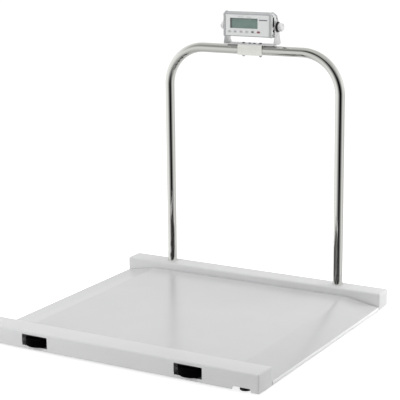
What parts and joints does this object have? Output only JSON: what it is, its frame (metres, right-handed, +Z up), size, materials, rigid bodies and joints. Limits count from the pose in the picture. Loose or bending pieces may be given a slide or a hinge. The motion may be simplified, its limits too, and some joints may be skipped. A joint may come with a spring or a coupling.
{
  "type": "portable platform scale",
  "caption": "Low portable floor scale with two side ramps, a bent tube handrail and a tilting digital indicator.",
  "frame": {"origin": "on the floor, under the middle of the outline of the whole scale, wheels included", "axes": "+X along the rails to the right, +Y from the front rail to the rear rail, +Z up"},
  "size_m": [0.95, 0.914, 0.9412],
  "materials": {
    "white_painted_steel": "smooth light grey-white powder coat, semi-gloss",
    "chrome_tube": "bright chrome plating",
    "zinc_plated_steel": "bright zinc plating, machined",
    "load_cell_alloy": "milled and anodised",
    "black_wheel_rubber": "solid black rubber",
    "black_foot_rubber": "moulded black rubber",
    "pale_case": "pale satin powder coat on an extruded shell",
    "pale_plastic": "moulded, fine grain",
    "face_film": "printed film, satin",
    "dark_plastic": "moulded, matt",
    "display_window": "clear window, faintly green",
    "display_glass": "grey-green liquid crystal display",
    "circuit_board": "green solder mask",
    "battery_sleeve": "blue shrink sleeve",
    "insert_brass": "turned brass",
    "key_grey": "pale grey key",
    "key_dark": "darker grey key",
    "key_red": "dull red key"
  },
  "bodies": {
    "platform": {"deck_plate": "white_painted_steel", "deck_stiffeners": "white_painted_steel", "ramp_ribs": "white_painted_steel", "front_rail": "white_painted_steel", "rear_rail": "white_painted_steel", "load_cell_front_left": "load_cell_alloy", "load_cell_front_right": "load_cell_alloy", "load_cell_rear_left": "load_cell_alloy", "load_cell_rear_right": "load_cell_alloy", "load_cell_spacers": "zinc_plated_steel", "load_cell_bolts": "zinc_plated_steel", "load_cell_leads": "dark_plastic", "foot_lock_nuts": "zinc_plated_steel", "wheel_brackets": "zinc_plated_steel", "wheel_axles": "zinc_plated_steel", "handrail": "chrome_tube", "post_sockets": "zinc_plated_steel", "post_collars": "pale_plastic", "post_screws": "zinc_plated_steel", "saddle_bracket": "white_painted_steel", "saddle_bolts": "zinc_plated_steel", "saddle_screws": "zinc_plated_steel", "yoke_bracket": "white_painted_steel", "toothed_washers": "dark_plastic", "junction_box_body": "dark_plastic", "junction_box_lid": "dark_plastic", "junction_box_glands": "dark_plastic"},
    "foot_front_left": {"foot_pad_front_left": "black_foot_rubber", "foot_stem_front_left": "zinc_plated_steel"},
    "foot_front_right": {"foot_pad_front_right": "black_foot_rubber", "foot_stem_front_right": "zinc_plated_steel"},
    "foot_rear_left": {"foot_pad_rear_left": "black_foot_rubber", "foot_stem_rear_left": "zinc_plated_steel"},
    "foot_rear_right": {"foot_pad_rear_right": "black_foot_rubber", "foot_stem_rear_right": "zinc_plated_steel"},
    "wheel_left": {"wheel_left": "black_wheel_rubber", "wheel_bush_left": "pale_plastic"},
    "wheel_right": {"wheel_right": "black_wheel_rubber", "wheel_bush_right": "pale_plastic"},
    "indicator": {"indicator_case": "pale_case", "face_film": "face_film", "end_cap_left": "pale_plastic", "end_cap_right": "pale_plastic", "cap_screws": "dark_plastic", "display_lens": "display_window", "display_module": "display_glass", "main_board": "circuit_board", "battery_pack": "battery_sleeve", "serial_port": "dark_plastic", "power_jack": "dark_plastic", "cable_gland": "dark_plastic", "pivot_inserts": "insert_brass"},
    "knob_left": {"knob_left": "pale_plastic"},
    "knob_right": {"knob_right": "pale_plastic"},
    "key_1": {"key_1": "key_grey"},
    "key_2": {"key_2": "key_grey"},
    "key_3": {"key_3": "key_grey"},
    "key_4": {"key_4": "key_grey"},
    "key_5": {"key_5": "key_dark"},
    "key_6": {"key_6": "key_red"}
  },
  "joints": [
    {"name": "foot_front_left_height", "type": "slide", "parent": "platform", "child": "foot_front_left", "axis": [0, 0, 1], "range_m": [-0.01, 0]},
    {"name": "foot_front_right_height", "type": "slide", "parent": "platform", "child": "foot_front_right", "axis": [0, 0, 1], "range_m": [-0.01, 0]},
    {"name": "foot_rear_left_height", "type": "slide", "parent": "platform", "child": "foot_rear_left", "axis": [0, 0, 1], "range_m": [-0.01, 0]},
    {"name": "foot_rear_right_height", "type": "slide", "parent": "platform", "child": "foot_rear_right", "axis": [0, 0, 1], "range_m": [-0.01, 0]},
    {"name": "wheel_left_spin", "type": "hinge", "parent": "platform", "child": "wheel_left", "pos_m": [-0.266, -0.415, 0.034], "axis": [0, 0, 1], "continuous": true},
    {"name": "wheel_right_spin", "type": "hinge", "parent": "platform", "child": "wheel_right", "pos_m": [0.255, -0.415, 0.034], "axis": [0, 0, 1], "continuous": true},
    {"name": "indicator_tilt", "type": "hinge", "parent": "platform", "child": "indicator", "pos_m": [0, 0.422, 0.8925], "axis": [1, 0, 0], "range_deg": [-75, 60]},
    {"name": "knob_left_turn", "type": "hinge", "parent": "platform", "child": "knob_left", "pos_m": [-0.105, 0.422, 0.8925], "axis": [1, 0, 0], "continuous": true},
    {"name": "knob_right_turn", "type": "hinge", "parent": "platform", "child": "knob_right", "pos_m": [0.105, 0.422, 0.8925], "axis": [1, 0, 0], "continuous": true},
    {"name": "key_1_press", "type": "slide", "parent": "indicator", "child": "key_1", "axis": [0, 1, 0], "range_m": [0, 0.0005], "stiffness_N_per_m": 3000},
    {"name": "key_2_press", "type": "slide", "parent": "indicator", "child": "key_2", "axis": [0, 1, 0], "range_m": [0, 0.0005], "stiffness_N_per_m": 3000},
    {"name": "key_3_press", "type": "slide", "parent": "indicator", "child": "key_3", "axis": [0, 1, 0], "range_m": [0, 0.0005], "stiffness_N_per_m": 3000},
    {"name": "key_4_press", "type": "slide", "parent": "indicator", "child": "key_4", "axis": [0, 1, 0], "range_m": [0, 0.0005], "stiffness_N_per_m": 3000},
    {"name": "key_5_press", "type": "slide", "parent": "indicator", "child": "key_5", "axis": [0, 1, 0], "range_m": [0, 0.0005], "stiffness_N_per_m": 3000},
    {"name": "key_6_press", "type": "slide", "parent": "indicator", "child": "key_6", "axis": [0, 1, 0], "range_m": [0, 0.0005], "stiffness_N_per_m": 3000}
  ]
}
